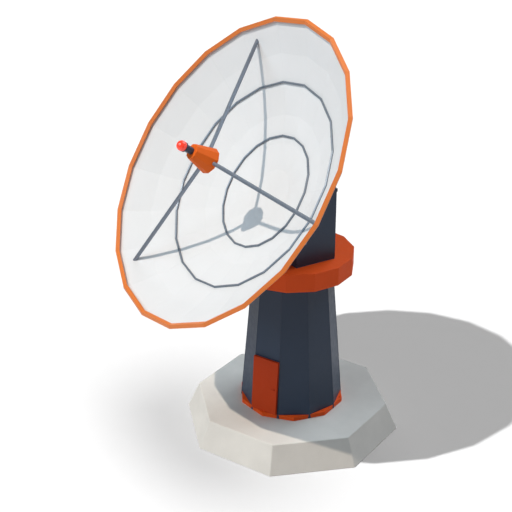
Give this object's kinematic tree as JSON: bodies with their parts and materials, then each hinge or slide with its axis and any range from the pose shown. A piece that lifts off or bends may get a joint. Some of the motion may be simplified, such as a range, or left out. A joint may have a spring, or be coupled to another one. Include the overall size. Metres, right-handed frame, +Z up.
{
  "type": "radar dish",
  "caption": "Steerable radar dish with a feed horn on struts, on a turning head over a tapered tower with a door, on a concrete plinth.",
  "frame": {"origin": "middle of the plinth's underside, on the tower's axis", "axes": "+Z up and the tower's door faces -Y; the dish faces 24.4 degrees from -Y towards -X, tipped 35 degrees above level"},
  "size_m": [9.8762, 9.3478, 14.1574],
  "materials": {
    "concrete": "cast concrete, matt",
    "navy_paint": "satin dark blue-grey paint on steel plate",
    "red_paint": "satin brick-red paint on steel",
    "orange_paint": "satin orange paint on steel",
    "white_paint": "matt white paint on sheet metal",
    "slate_paint": "satin slate paint on steel bar",
    "grey_steel": "dull galvanised tube",
    "beacon_red": "gloss red lamp cover",
    "bare_steel": "machined steel"
  },
  "bodies": {
    "tower": {"plinth": "concrete", "base_ring": "red_paint", "wall_panel_1": "navy_paint", "wall_panel_2": "navy_paint", "wall_panel_3": "navy_paint", "wall_panel_4": "navy_paint", "wall_panel_5": "navy_paint", "wall_panel_6": "navy_paint", "wall_panel_7": "navy_paint", "wall_panel_8": "navy_paint", "wall_panel_9": "navy_paint", "door_jamb_left": "navy_paint", "door_jamb_right": "navy_paint", "door_header": "navy_paint", "door_sill": "navy_paint", "door_frame": "red_paint", "door_hinge_low": "red_paint", "door_hinge_high": "red_paint", "tower_top_plate": "navy_paint", "bearing_fixed_race": "bare_steel"},
    "head": {"bearing_turning_race": "bare_steel", "turntable_housing": "red_paint", "fork_saddle": "navy_paint", "fork_arm_left": "navy_paint", "fork_arm_right": "navy_paint", "fork_cap_left": "navy_paint", "fork_cap_right": "navy_paint"},
    "dish": {"reflector": "white_paint", "rim_tube": "orange_paint", "hoop_inner": "slate_paint", "hoop_outer": "slate_paint", "strut_upper": "grey_steel", "strut_lower": "grey_steel", "strut_side": "grey_steel", "feed_horn": "orange_paint", "feed_stub": "navy_paint", "beacon_ball": "beacon_red", "dish_hub": "navy_paint", "trunnion_left": "bare_steel", "trunnion_right": "bare_steel", "counterweight": "navy_paint"},
    "door": {"door_leaf": "red_paint", "door_pull": "red_paint", "door_knuckle_low": "red_paint", "door_knuckle_high": "red_paint"}
  },
  "joints": [
    {"name": "azimuth", "type": "hinge", "parent": "tower", "child": "head", "pos_m": [0, 0, 6], "axis": [0, 0, 1], "continuous": true},
    {"name": "elevation", "type": "hinge", "parent": "head", "child": "dish", "pos_m": [0, 0, 8.03], "axis": [-0.9107, 0.4131, 0], "range_deg": [-10, 50]},
    {"name": "door_hinge", "type": "hinge", "parent": "tower", "child": "door", "pos_m": [-0.505, -1.6132, 2.04937], "axis": [0, -0.0782, -0.9969], "range_deg": [0, 100]}
  ]
}
